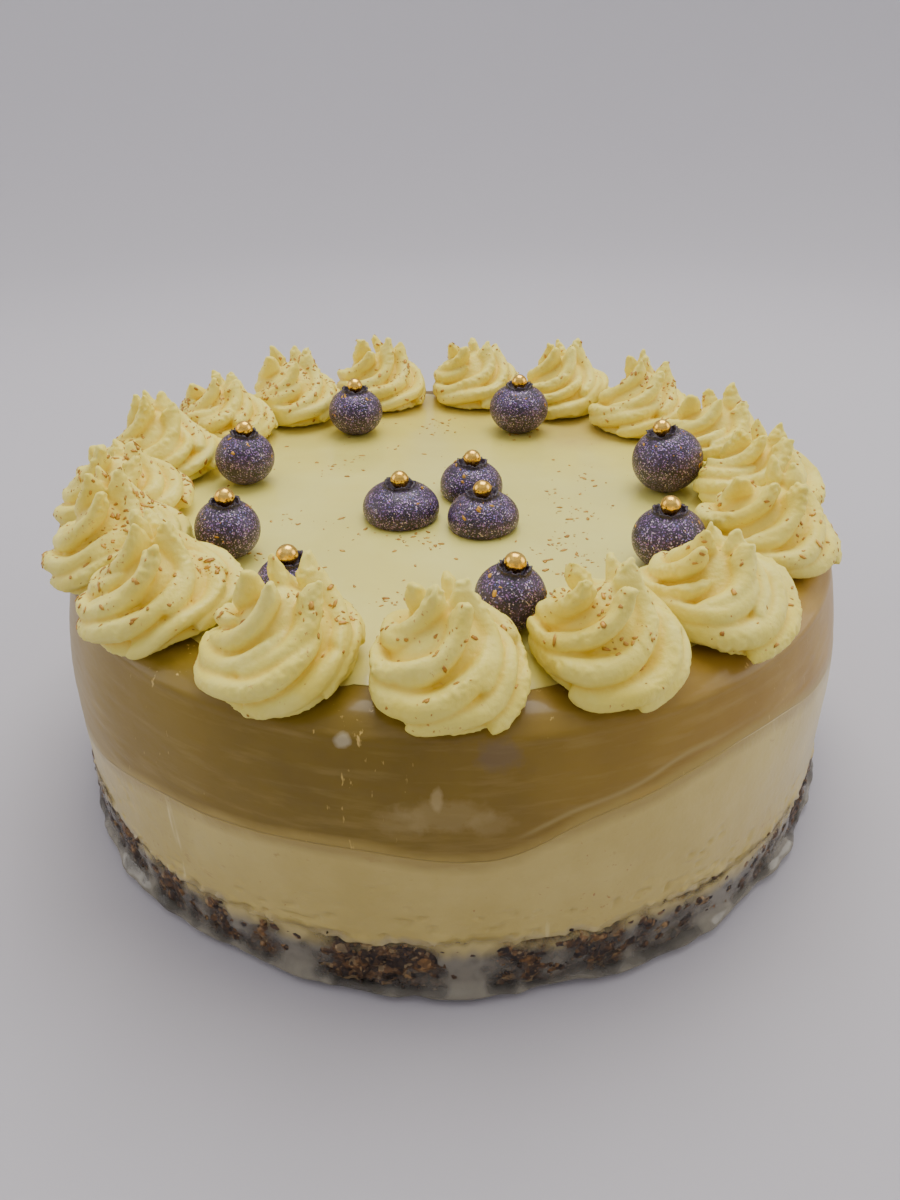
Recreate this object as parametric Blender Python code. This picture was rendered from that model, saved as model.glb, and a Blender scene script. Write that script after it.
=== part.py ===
"""Baked cheesecake: a crumb crust, two baked layers, a ring of piped cream rosettes,
painted berries and gold sugar pearls.

Metres, +Z up. The origin is the centre of the flat underside, and the front is -Y.
"""

import math
import random

import bmesh
import bpy
from mathutils import Matrix, Vector, noise

MM = 0.001
GAP = 0.3 * MM                  # air between pieces that touch

# Cake body, from the foot up
FOOT_RADIUS = 99.8 * MM         # a 20 cm springform tin
FOOT_CHAMFER = 1.5 * MM
CRUST_TOP = 14.5 * MM
LAYER_LINE = 39.0 * MM          # pale layer below, tan layer above
TOP = 67.2 * MM
TAPER_START = 30.0 * MM         # the side leans in above this height
TAPER = 6.5 * MM
TAPER_POWER = 2.2
RIM_ROUND = 5.5 * MM
RIM_STEPS = 4
EDGE_ROUND = 0.8 * MM
INNER_RING = 60.0 * MM
TURN_STEPS = 64
CRUST_ROUGH = 1.1 * MM          # depth of the crumbly hollows in the crust's side
LINE_WAVE = 1.0 * MM            # how far the layer lines rise and fall
WAVE_SCALE = 3.1

# Ring of piped rosettes: places round the ring in degrees, hand piped and so uneven
RING_CENTRE = (-2.2 * MM, -0.8 * MM)
RING_RADIUS = 80.8 * MM
ROSETTE_ANGLES = (271.2, 292.6, 313.3, 337.5, 358.5, 17.8, 40.9, 61.2, 82.3, 104.1,
                  125.8, 145.5, 165.5, 184.5, 203.5, 224.0, 248.7)
ROSETTE_RADIUS = 15.4 * MM
ROSETTE_HEIGHT = 21.0 * MM
ROSETTE_LOBES = 7
ROSETTE_LEVELS = 9
ROSETTE_TWIST = math.radians(165)
ROSETTE_GROOVE = 0.24           # depth of the grooves as a share of the radius
ROSETTE_WINDINGS = 2.0
WINDING_STEP = 0.07             # how far each winding swells out over the one above
ROSETTE_FULLNESS = 0.7          # below 1 the dome is fuller than a half circle
PEAK_RADIUS = 1.4 * MM
SIZE_SPREAD = 0.04
HEIGHT_SPREAD = 0.07
PRESS_POWER = 6                 # how sharply a rosette flattens against its neighbour
BERRY_CLEARANCE = 1.5 * MM

# Berries: x and y, width, height of the shoulder under the crown (mm), lean towards +X (degrees)
RIM_BERRIES = (
    (11.0, -62.5, 15.6, 12.0, 6),
    (48.9, -37.6, 17.2, 12.4, -3),
    (58.5, 4.0, 19.0, 14.3, -15),
    (20.9, 48.5, 18.3, 13.0, 0),
    (-28.8, 48.0, 17.0, 12.3, 2),
    (-56.0, 11.5, 16.4, 12.5, 6),
    (-51.9, -30.7, 16.0, 12.2, 3),
    (-33.0, -58.2, 15.8, 12.2, 0),
)
CENTRE_BERRIES = (
    (5.3, 1.8, 17.5, 7.6, 2),
    (7.9, -17.2, 18.2, 7.4, -2),
    (-12.6, -11.2, 20.2, 7.8, 0),
)
WHOLE_FOOT_ANGLE = math.radians(-64)    # where the flat foot cuts a whole berry
HALF_FOOT_ANGLE = math.radians(-18)     # the centre berries are cut near their middle
SHOULDER_ANGLE = math.radians(60)
BERRY_BANDS = 4
BERRY_SIDES = 10
CROWN_FLARE = 0.6 * MM
CROWN_TALL = 1.9 * MM
CROWN_SHORT = 0.9 * MM
CROWN_WALL = 1.0 * MM
CUP_RADIUS = 2.5 * MM
CUP_DEPTH = 0.8 * MM

PEARL_RADIUS = 2.25 * MM

MATERIALS = {
    "crumb_crust": ((0.20, 0.11, 0.05), 0.85, 0.0),
    "pale_layer": ((0.83, 0.71, 0.43), 0.40, 0.0),
    "tan_layer": ((0.66, 0.50, 0.26), 0.35, 0.0),
    "piped_cream": ((0.90, 0.83, 0.55), 0.50, 0.0),
    "painted_berry": ((0.07, 0.04, 0.09), 0.40, 0.3),
    "gold_pearl": ((0.75, 0.50, 0.14), 0.30, 1.0),
}


def clear_scene():
    """Remove whatever the open file holds."""
    for thing in list(bpy.data.objects):
        bpy.data.objects.remove(thing, do_unlink=True)


def make_material(name):
    """Return the named Principled material, made on first use."""
    if name in bpy.data.materials:
        return bpy.data.materials[name]
    colour, roughness, metallic = MATERIALS[name]
    material = bpy.data.materials.new(name)
    material.use_nodes = True
    shader = material.node_tree.nodes["Principled BSDF"]
    shader.inputs["Base Color"].default_value = (*colour, 1.0)
    shader.inputs["Roughness"].default_value = roughness
    shader.inputs["Metallic"].default_value = metallic
    return material


def add_object(name, shape, material_name):
    """Turn a bmesh into a smooth-shaded object with its own material."""
    mesh = bpy.data.meshes.new(name)
    bmesh.ops.recalc_face_normals(shape, faces=shape.faces)
    shape.to_mesh(mesh)
    shape.free()
    mesh.shade_smooth()
    mesh.set_sharp_from_angle(angle=math.radians(40))
    mesh.materials.append(make_material(material_name))
    thing = bpy.data.objects.new(name, mesh)
    bpy.context.scene.collection.objects.link(thing)
    return thing


def turned(half_section, steps):
    """Spin a half section, given as (radius, height) from the lower pole to the upper one."""
    shape = bmesh.new()
    line = [shape.verts.new((radius, 0.0, height)) for radius, height in half_section]
    edges = [shape.edges.new(pair) for pair in zip(line, line[1:])]
    bmesh.ops.spin(shape, geom=line + edges, cent=(0, 0, 0), axis=(0, 0, 1),
                   angle=math.tau, steps=steps, use_merge=True)
    bmesh.ops.remove_doubles(shape, verts=shape.verts, dist=0.01 * MM)
    return shape


# ---------------------------------------------------------------- cake body

def side_radius(height):
    """Radius of the cake's side: straight low down, leaning in towards the top."""
    rise = max(0.0, (height - TAPER_START) / (TOP - TAPER_START))
    return FOOT_RADIUS - TAPER * rise ** TAPER_POWER


def line_wave(point, seed):
    """Rise or fall of a layer line: noise round the cake, dying out at the axis."""
    reach = math.hypot(point.x, point.y)
    if reach < MM:
        return 0.0
    around = Vector((point.x, point.y, 0)) / reach * WAVE_SCALE
    around.z = seed
    return LINE_WAVE * noise.noise(around) * min(1.0, reach / INNER_RING)


def wave_between(shape, floor, roof, floor_seed, roof_seed):
    """Let a layer follow the wavy line under it and the one above it."""
    for vert in shape.verts:
        share = (vert.co.z - floor) / (roof - floor)
        low = line_wave(vert.co, floor_seed) if floor_seed else 0.0
        high = line_wave(vert.co, roof_seed) if roof_seed else 0.0
        vert.co.z += low * (1 - share) + high * share


def crumble_side(shape):
    """Sink hollows into the crust's side, above the true circle at its foot."""
    for vert in shape.verts:
        reach = math.hypot(vert.co.x, vert.co.y)
        if reach < INNER_RING * 1.2 or vert.co.z <= FOOT_CHAMFER * 1.01:
            continue
        hollow = CRUST_ROUGH * abs(noise.noise(vert.co * 90))
        vert.co.x *= 1 - hollow / reach
        vert.co.y *= 1 - hollow / reach


def crust():
    """Crumb base, pressed flat into the tin."""
    edge = side_radius(CRUST_TOP)
    section = [(0, 0), (FOOT_RADIUS - FOOT_CHAMFER, 0), (FOOT_RADIUS, FOOT_CHAMFER),
               (FOOT_RADIUS, CRUST_TOP * 0.55), (edge, CRUST_TOP - EDGE_ROUND),
               (edge - EDGE_ROUND, CRUST_TOP), (INNER_RING, CRUST_TOP), (0, CRUST_TOP)]
    shape = turned(section, TURN_STEPS)
    crumble_side(shape)
    for vert in shape.verts:
        if vert.co.z > CRUST_TOP - EDGE_ROUND * 1.5:
            vert.co.z += line_wave(vert.co, 1.0)
    add_object("crust", shape, "crumb_crust")


def lower_layer():
    """Pale baked layer between the crust and the tan layer."""
    floor = CRUST_TOP + GAP
    roof = LAYER_LINE
    heights = [floor + EDGE_ROUND, (floor + roof) / 2, roof - EDGE_ROUND]
    side = [(side_radius(height), height) for height in heights]
    section = [(0, floor), (INNER_RING, floor), (side_radius(floor) - EDGE_ROUND, floor), *side,
               (side_radius(roof) - EDGE_ROUND, roof), (INNER_RING, roof), (0, roof)]
    shape = turned(section, TURN_STEPS)
    wave_between(shape, floor, roof, 1.0, 2.0)
    add_object("lower_layer", shape, "pale_layer")


def upper_layer():
    """Tan layer with a rounded rim and a flat top, which the toppings stand on."""
    floor = LAYER_LINE + GAP
    arc_centre = side_radius(TOP - RIM_ROUND) - RIM_ROUND
    side = [(side_radius(height), height)
            for height in (floor + EDGE_ROUND, (floor + TOP - RIM_ROUND) / 2)]
    rim = []
    for step in range(RIM_STEPS + 1):
        turn = math.pi / 2 * step / RIM_STEPS
        rim.append((arc_centre + RIM_ROUND * math.cos(turn),
                    TOP - RIM_ROUND + RIM_ROUND * math.sin(turn)))
    section = [(0, floor), (INNER_RING, floor), (side_radius(floor) - EDGE_ROUND, floor),
               *side, *rim, (0, TOP)]
    shape = turned(section, TURN_STEPS)
    wave_between(shape, floor, TOP, 2.0, 0)
    add_object("upper_layer", shape, "tan_layer")


# ---------------------------------------------------------------- berries and pearls

def crown_section(rim_radius, shoulder):
    """The calyx: a flared ragged rim round a shallow cup that holds the pearl."""
    return [(rim_radius + CROWN_FLARE, shoulder + CROWN_TALL),
            (rim_radius - CROWN_WALL, shoulder + CROWN_SHORT * 0.6),
            (CUP_RADIUS, shoulder - CUP_DEPTH * 0.7), (0, shoulder - CUP_DEPTH)]


def berry_section(width, shoulder, foot_angle):
    """A rounded body, cut flat at the foot, with the crown on its shoulder."""
    low = math.sin(foot_angle)
    span = math.sin(SHOULDER_ANGLE) - low
    body = []
    for band in range(BERRY_BANDS + 1):
        angle = foot_angle + (SHOULDER_ANGLE - foot_angle) * band / BERRY_BANDS
        body.append((width / 2 * math.cos(angle), shoulder * (math.sin(angle) - low) / span))
    return [(0, 0), *body, *crown_section(body[-1][0], shoulder)]


def berry(name, place, foot_angle):
    """One berry on the cake's top, leaning as it settled, and the pearl in its crown."""
    x, y, width, shoulder = (value * MM for value in place[:4])
    shape = turned(berry_section(width, shoulder, foot_angle), BERRY_SIDES)
    for vert in shape.verts:
        sector = round(math.atan2(vert.co.y, vert.co.x) / math.tau * BERRY_SIDES)
        if vert.co.z > shoulder + CROWN_TALL * 0.9 and sector % 2:
            vert.co.z = shoulder + CROWN_SHORT
    lean = Matrix.Rotation(math.radians(place[4]), 4, "Y")
    bmesh.ops.transform(shape, matrix=lean, verts=shape.verts)
    lowest = min(vert.co.z for vert in shape.verts)
    settle = Vector((x, y, TOP + GAP - lowest))
    bmesh.ops.translate(shape, vec=settle, verts=shape.verts)
    add_object(f"berry_{name}", shape, "painted_berry")
    cup = Vector((0, 0, shoulder - CUP_DEPTH + GAP + PEARL_RADIUS))
    pearl(name, lean @ cup + settle)
    return Vector((x, y, TOP + shoulder / 2)), max(width, shoulder) / 2


def pearl(name, centre):
    """A gold sugar pearl."""
    shape = bmesh.new()
    bmesh.ops.create_icosphere(shape, subdivisions=2, radius=PEARL_RADIUS,
                               matrix=Matrix.Translation(centre))
    add_object(f"pearl_{name}", shape, "gold_pearl")


def berries():
    """All berries and pearls; returns each rim berry's middle and reach."""
    rim = [berry(f"{number:02d}", place, WHOLE_FOOT_ANGLE)
           for number, place in enumerate(RIM_BERRIES, 1)]
    for number, place in enumerate(CENTRE_BERRIES, len(RIM_BERRIES) + 1):
        berry(f"{number:02d}", place, HALF_FOOT_ANGLE)
    return rim


# ---------------------------------------------------------------- piped rosettes

def rosette_reach(level):
    """Outline of the rosette against its height from 0 to 1: a dome in windings."""
    dome = math.cos(math.pi / 2 * level) ** ROSETTE_FULLNESS
    winding = 1 + WINDING_STEP * (math.cos(math.tau * ROSETTE_WINDINGS * (level - 0.16)) - 1)
    tuck = 1 - 0.12 * max(0.0, 1 - level / 0.1)
    return dome * winding * tuck


def rosette_ring(level, radius, height, start):
    """One level: a star outline turned a little further than the level under it."""
    turn = start + ROSETTE_TWIST * level
    ring = []
    for side in range(2 * ROSETTE_LOBES):
        angle = turn + math.pi * side / ROSETTE_LOBES
        groove = 1 - ROSETTE_GROOVE * (side % 2) * (0.55 if level == 0 else 1)
        reach = max(PEAK_RADIUS, radius * rosette_reach(level)) * groove
        ring.append(Vector((reach * math.cos(angle), reach * math.sin(angle), height * level)))
    return ring


def rosette_body(radius, height, start):
    """Rings joined by quads, with a flat foot and a pointed peak."""
    shape = bmesh.new()
    levels = [step / ROSETTE_LEVELS for step in range(ROSETTE_LEVELS)]
    rings = [[shape.verts.new(point) for point in rosette_ring(level, radius, height, start)]
             for level in levels]
    foot = shape.verts.new((0, 0, 0))
    peak = shape.verts.new((0, 0, height))
    sides = 2 * ROSETTE_LOBES
    for side in range(sides):
        after = (side + 1) % sides
        shape.faces.new((foot, rings[0][after], rings[0][side]))
        shape.faces.new((peak, rings[-1][side], rings[-1][after]))
        for lower, upper in zip(rings, rings[1:]):
            shape.faces.new((lower[side], lower[after], upper[after]))
            shape.faces.new((lower[side], upper[after], upper[side]))
    return shape


def press_against_neighbours(shape, before, after):
    """Squeeze the rosette sideways so that it stays inside its own slice of the ring.

    The frame here has +X outwards and +Y round the ring; before and after are the
    half angles to the two neighbours.
    """
    for vert in shape.verts:
        outwards = RING_RADIUS + vert.co.x
        half_angle = after if vert.co.y > 0 else before
        limit = outwards * math.tan(half_angle) - GAP
        share = abs(vert.co.y) / limit
        vert.co.y /= (1 + share ** PRESS_POWER) ** (1 / PRESS_POWER)


def press_against_berries(shape, rim_berries):
    """Push the cream back from each berry that is nestled into it."""
    for vert in shape.verts:
        for middle, reach in rim_berries:
            away = vert.co - middle
            away.z *= 0.5
            clear = reach + BERRY_CLEARANCE
            if away.length < clear:
                flat = Vector((away.x, away.y, 0)).normalized()
                need = math.sqrt(clear ** 2 - away.z ** 2)
                vert.co.x = middle.x + flat.x * need
                vert.co.y = middle.y + flat.y * need


def rosettes(rim_berries):
    """The ring, each rosette a little different in size, height and turn."""
    chance = random.Random(17)
    count = len(ROSETTE_ANGLES)
    for index, angle in enumerate(ROSETTE_ANGLES):
        radius = ROSETTE_RADIUS * (1 + chance.uniform(-SIZE_SPREAD, SIZE_SPREAD))
        height = ROSETTE_HEIGHT * (1 + chance.uniform(-HEIGHT_SPREAD, HEIGHT_SPREAD))
        shape = rosette_body(radius, height, chance.uniform(0, math.tau))
        before = math.radians((angle - ROSETTE_ANGLES[index - 1]) % 360) / 2
        after = math.radians((ROSETTE_ANGLES[(index + 1) % count] - angle) % 360) / 2
        press_against_neighbours(shape, before, after)
        place = (Matrix.Translation((*RING_CENTRE, TOP + GAP))
                 @ Matrix.Rotation(math.radians(angle), 4, "Z")
                 @ Matrix.Translation((RING_RADIUS, 0, 0)))
        bmesh.ops.transform(shape, matrix=place, verts=shape.verts)
        press_against_berries(shape, rim_berries)
        add_object(f"rosette_{index + 1:02d}", shape, "piped_cream")


clear_scene()
crust()
lower_layer()
upper_layer()
rosettes(berries())
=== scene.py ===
import itertools
import math

import bpy
import numpy as np
from mathutils import Matrix, Vector


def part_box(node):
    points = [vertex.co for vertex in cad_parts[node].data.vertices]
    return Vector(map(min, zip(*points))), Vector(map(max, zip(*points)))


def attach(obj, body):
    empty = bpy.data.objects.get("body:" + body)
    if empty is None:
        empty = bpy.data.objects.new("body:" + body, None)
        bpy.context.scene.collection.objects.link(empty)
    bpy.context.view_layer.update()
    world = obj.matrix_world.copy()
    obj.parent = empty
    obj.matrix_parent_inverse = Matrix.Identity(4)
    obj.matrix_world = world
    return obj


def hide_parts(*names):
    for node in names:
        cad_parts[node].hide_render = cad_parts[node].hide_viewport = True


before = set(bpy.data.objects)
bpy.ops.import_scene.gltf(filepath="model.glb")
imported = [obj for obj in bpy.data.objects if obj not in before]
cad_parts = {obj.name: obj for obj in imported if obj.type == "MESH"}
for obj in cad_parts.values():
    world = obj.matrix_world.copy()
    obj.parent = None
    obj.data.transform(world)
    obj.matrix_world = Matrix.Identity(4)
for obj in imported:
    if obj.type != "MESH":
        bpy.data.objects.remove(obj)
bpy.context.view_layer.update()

# --- Table and light ---------------------------------------------------------------------
# A pale lavender-grey studio sweep, flat under the cake and turned up all round. The cake
# stands under one large soft light overhead and a little behind, with a weak glow each side.

MM = 0.001
SWEEP_FLAT = 700 * MM            # the flat part reaches this far from the cake
SWEEP_BEND = 950 * MM
SWEEP_TOP = 1700 * MM
SWEEP_TURNS = 96
FLAT_SHARE, BEND_SHARE = 0.4, 0.8    # where the flat part and the bend end along the profile
SWEEP_COLOUR = (0.495, 0.472, 0.505, 1)


def turned_skin(rows):
    """One closed skin from rings of points, (rings, turns, 3), counterclockwise from above.

    The first ring is at the foot and the last at the top. Neighbouring rings are joined by
    quads, and each end is closed by a fan to the middle of its ring.
    """
    rings, turns = rows.shape[:2]
    points = np.concatenate([rows.reshape(-1, 3), rows[:1].mean(axis=1), rows[-1:].mean(axis=1)])
    ring, turn = np.meshgrid(np.arange(rings - 1), np.arange(turns), indexing="ij")
    here, after = ring * turns + turn, ring * turns + (turn + 1) % turns
    quads = np.stack([here, after, after + turns, here + turns], axis=-1).reshape(-1, 4)
    here = np.arange(turns)
    after = (here + 1) % turns
    top = (rings - 1) * turns
    foot_fan = np.stack([np.full(turns, rings * turns), after, here], axis=-1)
    top_fan = np.stack([np.full(turns, rings * turns + 1), top + here, top + after], axis=-1)
    return points, quads.tolist() + foot_fan.tolist() + top_fan.tolist()


def add_piece(name, points, faces, material):
    """A smooth-shaded mesh object at the origin, with its places in metres in its mesh."""
    mesh = bpy.data.meshes.new(name)
    mesh.from_pydata(points.tolist(), [], faces)
    mesh.shade_smooth()
    mesh.materials.append(material)
    piece = bpy.data.objects.new(name, mesh)
    bpy.context.scene.collection.objects.link(piece)
    return piece


def put(tree, kind, feeds=(), **options):
    """Adds one shader node; feeds pairs a socket with a value or with the socket feeding it."""
    node = tree.nodes.new("ShaderNode" + kind)
    for option, value in options.items():
        setattr(node, option, value)
    for socket, value in dict(feeds).items():
        if isinstance(value, bpy.types.NodeSocket):
            tree.links.new(value, node.inputs[socket])
        else:
            node.inputs[socket].default_value = value
    return node


def new_finish(name, **settings):
    """A material with its Principled surface set, and the object's own coordinates."""
    material = bpy.data.materials.new(name)
    material.use_nodes = True
    tree = material.node_tree
    surface = tree.nodes["Principled BSDF"]
    for socket, value in settings.items():
        surface.inputs[socket.replace("_", " ")].default_value = value
    return material, tree, surface, put(tree, "TexCoord").outputs["Object"]


def roughen(tree, surface, height, strength, distance):
    """Raises the surface's shading by a pattern."""
    bump = put(tree, "Bump", {"Strength": strength, "Distance": distance, "Height": height})
    tree.links.new(bump.outputs[0], surface.inputs["Normal"])


def sweep_profile(share):
    """Flat out to the bend, round a quarter circle, then straight up, by share from 0 to 1."""
    bend = np.clip((share - FLAT_SHARE) / (BEND_SHARE - FLAT_SHARE), 0, 1) * math.pi / 2
    reach = SWEEP_FLAT * np.clip(share / FLAT_SHARE, 0, 1) + SWEEP_BEND * np.sin(bend)
    climb = np.clip((share - BEND_SHARE) / (1 - BEND_SHARE), 0, 1) * (SWEEP_TOP - SWEEP_BEND)
    return reach, SWEEP_BEND * (1 - np.cos(bend)) + climb


def sweep():
    """The profile turned round the cake's middle, facing in and up, open at its upper edge."""
    share, turn = np.meshgrid(np.linspace(1, 0.004, 60),
                              np.arange(SWEEP_TURNS) / SWEEP_TURNS * math.tau, indexing="ij")
    reach, height = sweep_profile(share)
    rows = np.stack([reach * np.cos(turn), reach * np.sin(turn), height], axis=-1)
    points, faces = turned_skin(rows)
    points[-2] = points[-1]
    return points, faces[:-2 * SWEEP_TURNS] + faces[-SWEEP_TURNS:]


paper, tree, surface, place = new_finish("studio_paper", Roughness=0.75)
grain = put(tree, "TexNoise", {"Vector": place, "Scale": 3.0, "Detail": 3.0})
tint = put(tree, "MixRGB", {0: grain.outputs["Fac"], 1: SWEEP_COLOUR,
                            2: (0.515, 0.495, 0.525, 1)})
# Painted light: the sweep's wall is painted lighter as it rises, standing in for more light on
# the backdrop than on the floor.
level = put(tree, "SeparateXYZ", {0: place})
painted_wall_light = put(tree, "MapRange", {0: level.outputs[2], 1: 0.0, 2: 0.6})
wall = put(tree, "MixRGB", {0: painted_wall_light.outputs[0], 1: tint.outputs[0], 2: (0.72, 0.71, 0.735, 1)})
tree.links.new(wall.outputs[0], surface.inputs["Base Color"])
floor = add_piece("studio_sweep", *sweep(), paper)


LIGHT_AIM = Vector((0, 0, 50 * MM))
for name, place, size, power, colour in (
        ("overhead_softbox", (0.08, 0.32, 0.92), 0.65, 7.4, (1.0, 0.985, 0.95)),
        ("left_wall_glow", (-0.85, 0.10, 0.40), 0.6, 2.0, (1.0, 0.97, 0.93)),
        ("right_wall_glow", (0.85, 0.05, 0.40), 0.6, 2.6, (1.0, 0.96, 0.90))):
    softbox = bpy.data.lights.new(name, "AREA")
    softbox.size, softbox.energy, softbox.color = size, power, colour
    lamp = bpy.data.objects.new(name, softbox)
    lamp.location = place
    lamp.rotation_euler = (lamp.location - LIGHT_AIM).to_track_quat("Z", "Y").to_euler()
    bpy.context.scene.collection.objects.link(lamp)

sky = bpy.data.worlds.new("studio_air")
sky.use_nodes = True
air = sky.node_tree.nodes["Background"].inputs
air["Color"].default_value, air["Strength"].default_value = (0.96, 0.955, 1.0, 1), 0.85
bpy.context.scene.world = sky

lens = bpy.data.cameras.new("table_camera")
lens.lens = 27.75
camera = bpy.data.objects.new("table_camera", lens)
view = (Matrix.Translation((-0.45 * MM, -222.05 * MM, 169.0 * MM))
        @ Matrix.Rotation(math.radians(59.0), 4, "X")
        @ Matrix.Rotation(math.radians(-0.54), 4, "Z"))
camera.matrix_world = view
bpy.context.scene.collection.objects.link(camera)
bpy.context.scene.camera = camera

# --- Crumb crust -------------------------------------------------------------------------
# A base of dark chocolate biscuit crumbs and melted butter, pressed into the springform tin
# and baked. Its side is a rough wall of packed crumbs with a ragged upper edge.

FOOT_RADIUS = 99.8 * MM
FOOT_CHAMFER = 1.5 * MM
CRUST_TOP = 14.6 * MM
TAPER_START = 30.0 * MM
TAPER = 6.5 * MM
CUT = 0.01 * MM                  # air left between the baked layers
CRUST_TURNS = 1400
CRUST_RINGS = 36
BIG_CRUMB, SMALL_CRUMB = 3.4 * MM, 1.5 * MM
CRUMB_RELIEF = 1.5 * MM


def side_radius(height):
    """Radius of the cake's side: upright, then leaning in with the 2.2 power of the height."""
    lean = np.maximum(0, (height - TAPER_START) / (37.2 * MM)) ** 2.2
    return FOOT_RADIUS - TAPER * lean


def cell_value(cell, seed):
    """A steady random number from 0 to 1 for each whole-numbered cell (x, y, z)."""
    mixed = (cell[..., 0] * 73856093) ^ (cell[..., 1] * 19349663) ^ (cell[..., 2] * 83492791)
    mixed = (mixed ^ (seed * 2654435761)) & 0x7FFFFFFF
    mixed = ((mixed ^ (mixed >> 13)) * 1274126177) & 0x7FFFFFFF
    mixed = ((mixed ^ (mixed >> 15)) * 668265263) & 0x7FFFFFFF
    return (mixed >> 11 & 0xFFFF) / 65535.0


def soft_noise(points, size, seed):
    """Smooth noise from -1 to 1: random values on a lattice `size` apart, eased between."""
    scaled = points / size
    base = np.floor(scaled).astype(np.int64)
    part = scaled - base
    part = part * part * (3 - 2 * part)
    total = np.zeros(points.shape[:-1])
    for corner in itertools.product((0, 1), repeat=3):
        weight = np.prod(np.where(corner, part, 1 - part), axis=-1)
        total += weight * cell_value(base + np.array(corner), seed)
    return total * 2 - 1


def crumb_domes(points, size, seed):
    """Packed round crumbs: 1 at the nearest of the random centres, less its distance squared."""
    scaled = points / size
    base = np.floor(scaled).astype(np.int64)
    nearest = np.full(points.shape[:-1], 9.0)
    for step in itertools.product((-1, 0, 1), repeat=3):
        cell = base + np.array(step)
        centre = cell + np.stack([cell_value(cell, seed + axis) for axis in range(3)], axis=-1)
        nearest = np.minimum(nearest, ((scaled - centre) ** 2).sum(axis=-1))
    return np.clip(1 - nearest, 0, 1)


def ease(low, high, value):
    """0 below low, 1 above high, and a smooth step between."""
    share = np.clip((value - low) / (high - low), 0, 1)
    return share * share * (3 - 2 * share)


def around(turns):
    """Evenly spaced angles round the cake, counterclockwise from +X."""
    return np.arange(turns) / turns * math.tau


def on_side(angle, height, reach=None):
    """Points at an angle, a height and a distance from the axis, the side's own by default."""
    reach = side_radius(height) if reach is None else reach
    return np.stack(np.broadcast_arrays(reach * np.cos(angle), reach * np.sin(angle), height),
                    axis=-1)


def crust_edge(angle):
    """Height of the crust's ragged upper edge: a slow wave with crumbs of two sizes on it."""
    line = on_side(angle, CRUST_TOP)
    return CRUST_TOP + (0.8 * soft_noise(line, 24 * MM, 11)
                        + 1.1 * soft_noise(line, 4.2 * MM, 12)
                        + 0.9 * soft_noise(line, 1.7 * MM, 13)) * MM


def crust_wall():
    """Rings up the side from the chamfer to the ragged edge, pushed in and out by crumbs."""
    angle = around(CRUST_TURNS)
    share = np.linspace(0, 1, CRUST_RINGS)[:, None]
    height = FOOT_CHAMFER * 0.5 + share * (crust_edge(angle) - CUT - FOOT_CHAMFER * 0.5)
    wall = on_side(angle, height)
    big, small = crumb_domes(wall, BIG_CRUMB, 21), crumb_domes(wall, SMALL_CRUMB, 22)
    relief = np.maximum(big ** 1.5, 0.75 * small) + 0.15 * soft_noise(wall, 0.7 * MM, 23)
    ends = 0.9 * ease(0.93, 1.0, share) + 2.0 * ease(0.14, 0.0, share)
    reach = FOOT_RADIUS - 0.9 * MM + (relief - ends) * CRUMB_RELIEF
    wall = on_side(angle, height, reach)
    foot = on_side(angle, np.zeros((2, 1)), np.array([[60.0], [95.8]]) * MM)
    roof = wall[-1:] * np.array([[[0.90, 0.90, 1]], [[0.62, 0.62, 1]]])
    return np.concatenate([foot, wall, roof])


def crumb_mix(tree, place, size):
    """Baked crumbs: near-black, dark brown and a few orange-brown bits, by random cells."""
    cells = put(tree, "TexVoronoi", {"Vector": place, "Scale": size})
    split = put(tree, "SeparateColor", {0: cells.outputs["Color"]})
    ramp = put(tree, "ValToRGB", {0: split.outputs[0]})
    stops = ramp.color_ramp.elements
    stops[0].position, stops[0].color = 0.0, (0.006, 0.003, 0.002, 1)
    stops[1].position, stops[1].color = 1.0, (0.42, 0.30, 0.14, 1)
    for position, colour in ((0.35, (0.024, 0.012, 0.006, 1)), (0.62, (0.060, 0.032, 0.013, 1)),
                             (0.80, (0.15, 0.070, 0.020, 1)), (0.90, (0.28, 0.14, 0.04, 1))):
        stops.new(position).color = colour
    return ramp.outputs[0]


def crumb_finish():
    """Two sizes of crumb colour, a fine grain, and a buttery shine in places."""
    material, tree, surface, place = new_finish("biscuit_crumb", Roughness=0.5,
                                                Specular_IOR_Level=0.45)
    patch = put(tree, "TexNoise", {"Vector": place, "Scale": 420.0, "Detail": 4.0})
    mixed = put(tree, "MixRGB", {0: patch.outputs["Fac"], 1: crumb_mix(tree, place, 520.0),
                                 2: crumb_mix(tree, place, 1400.0)})
    tree.links.new(mixed.outputs[0], surface.inputs["Base Color"])
    wet = put(tree, "TexNoise", {"Vector": place, "Scale": 160.0, "Detail": 2.0})
    shine = put(tree, "MapRange", {0: wet.outputs["Fac"], 1: 0.35, 2: 0.65, 3: 0.25, 4: 0.7})
    tree.links.new(shine.outputs[0], surface.inputs["Roughness"])
    grit = put(tree, "TexNoise", {"Vector": place, "Scale": 2600.0, "Detail": 3.0})
    roughen(tree, surface, grit.outputs["Fac"], 0.6, 0.25 * MM)
    return material


crumb = crumb_finish()
crust = add_piece("crumb_base", *turned_skin(crust_wall()), crumb)
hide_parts("crust")
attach(crust, "root")

# --- Loose crumbs ------------------------------------------------------------------------
# Biscuit crumbs that broke off the crust as the tin came away. They cling to its wall, lie
# along its foot and stand in its ragged upper edge, held by butter and glaze.

LOOSE_CRUMBS = 620
CRUMB_SIZES = (0.35 * MM, 1.15 * MM)


def ball_grid(rings, turns):
    """Unit ball as (rings, turns, 3): sine and cosine of the two angles, open at its poles."""
    tilt = (np.arange(rings) + 0.5) / rings * math.pi
    turn = around(turns)
    return np.stack([np.sin(tilt)[:, None] * np.cos(turn), np.sin(tilt)[:, None] * np.sin(turn),
                     np.repeat(-np.cos(tilt)[:, None], turns, axis=1)], axis=-1)


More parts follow.
